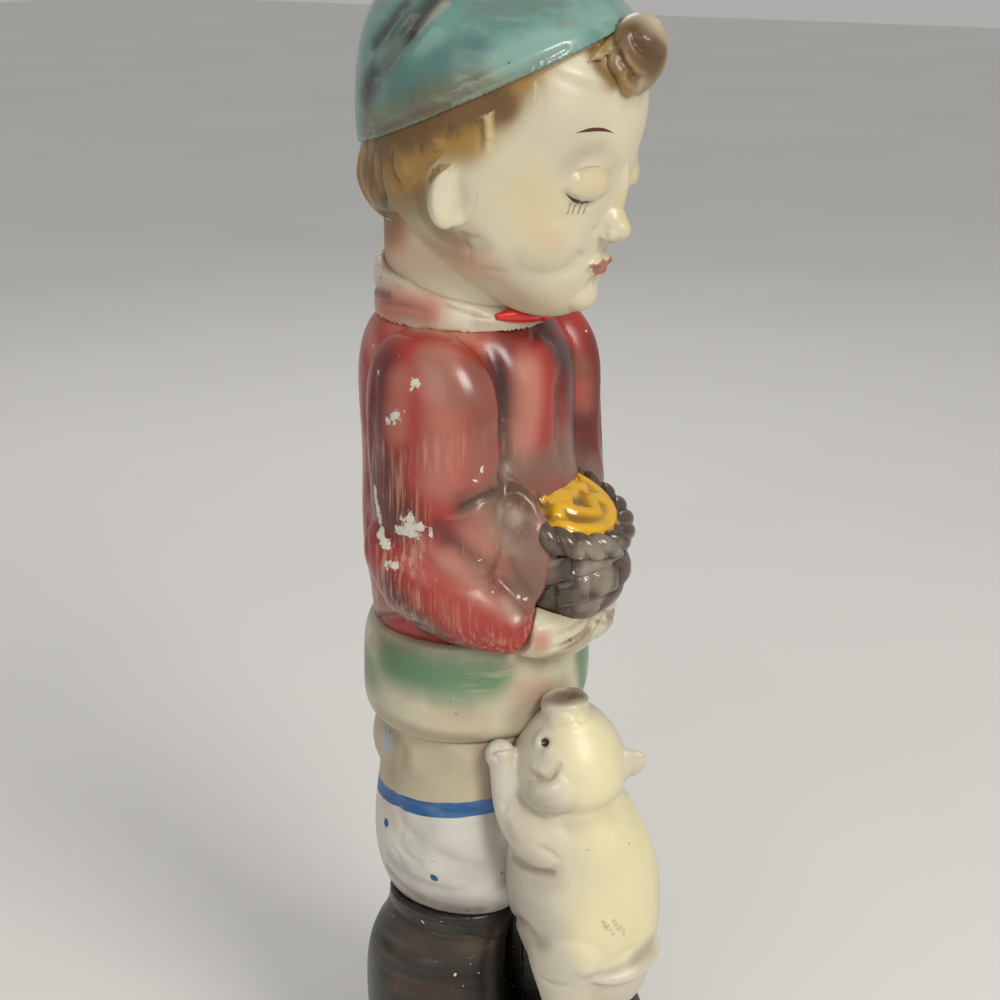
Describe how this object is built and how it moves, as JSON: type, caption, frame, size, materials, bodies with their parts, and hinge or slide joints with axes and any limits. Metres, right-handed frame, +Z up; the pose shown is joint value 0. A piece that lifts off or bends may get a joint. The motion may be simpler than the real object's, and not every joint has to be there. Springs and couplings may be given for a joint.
{
  "type": "chalkware figure",
  "caption": "Hollow painted plaster figure of a child in a soft cap who holds a basket, with a pig standing up against the child's leg, on an oval base.",
  "frame": {"origin": "centre of the underside of the felt pad, under the middle of the oval base", "axes": "+Z up, the child faces -Y, +X is the child's left"},
  "size_m": [0.104, 0.126, 0.4287],
  "materials": {
    "felt": "matte",
    "ground_paint": "satin",
    "boot_paint": "satin",
    "trouser_paint": "satin",
    "tunic_paint": "satin",
    "jersey_paint": "gloss",
    "skin_paint": "satin",
    "hair_paint": "satin",
    "cap_paint": "gloss",
    "collar_paint": "satin",
    "scarf_paint": "satin",
    "basket_paint": "gloss",
    "fill_paint": "gloss",
    "pig_paint": "satin"
  },
  "bodies": {
    "root": {"felt_pad": "felt", "base": "ground_paint", "ground_mound": "ground_paint", "boot_right": "boot_paint", "boot_left": "boot_paint", "trousers": "trouser_paint", "tunic_skirt": "tunic_paint", "jersey": "jersey_paint", "sleeve_right": "jersey_paint", "sleeve_left": "jersey_paint", "hand_right": "skin_paint", "hand_left": "skin_paint", "head": "skin_paint", "ear_right": "skin_paint", "ear_left": "skin_paint", "hair": "hair_paint", "forelock": "hair_paint", "cap": "cap_paint", "collar": "collar_paint", "neckerchief_knot": "scarf_paint", "neckerchief_wing_right": "scarf_paint", "neckerchief_wing_left": "scarf_paint", "basket": "basket_paint", "basket_rim": "basket_paint", "basket_fill": "fill_paint", "pig_body": "pig_paint", "pig_head": "pig_paint", "pig_snout": "pig_paint", "pig_ear_right": "pig_paint", "pig_ear_left": "pig_paint", "pig_foreleg_right": "pig_paint", "pig_foreleg_left": "pig_paint", "pig_hind_leg_right": "pig_paint", "pig_hind_leg_left": "pig_paint", "pig_tail": "pig_paint"}
  },
  "joints": []
}
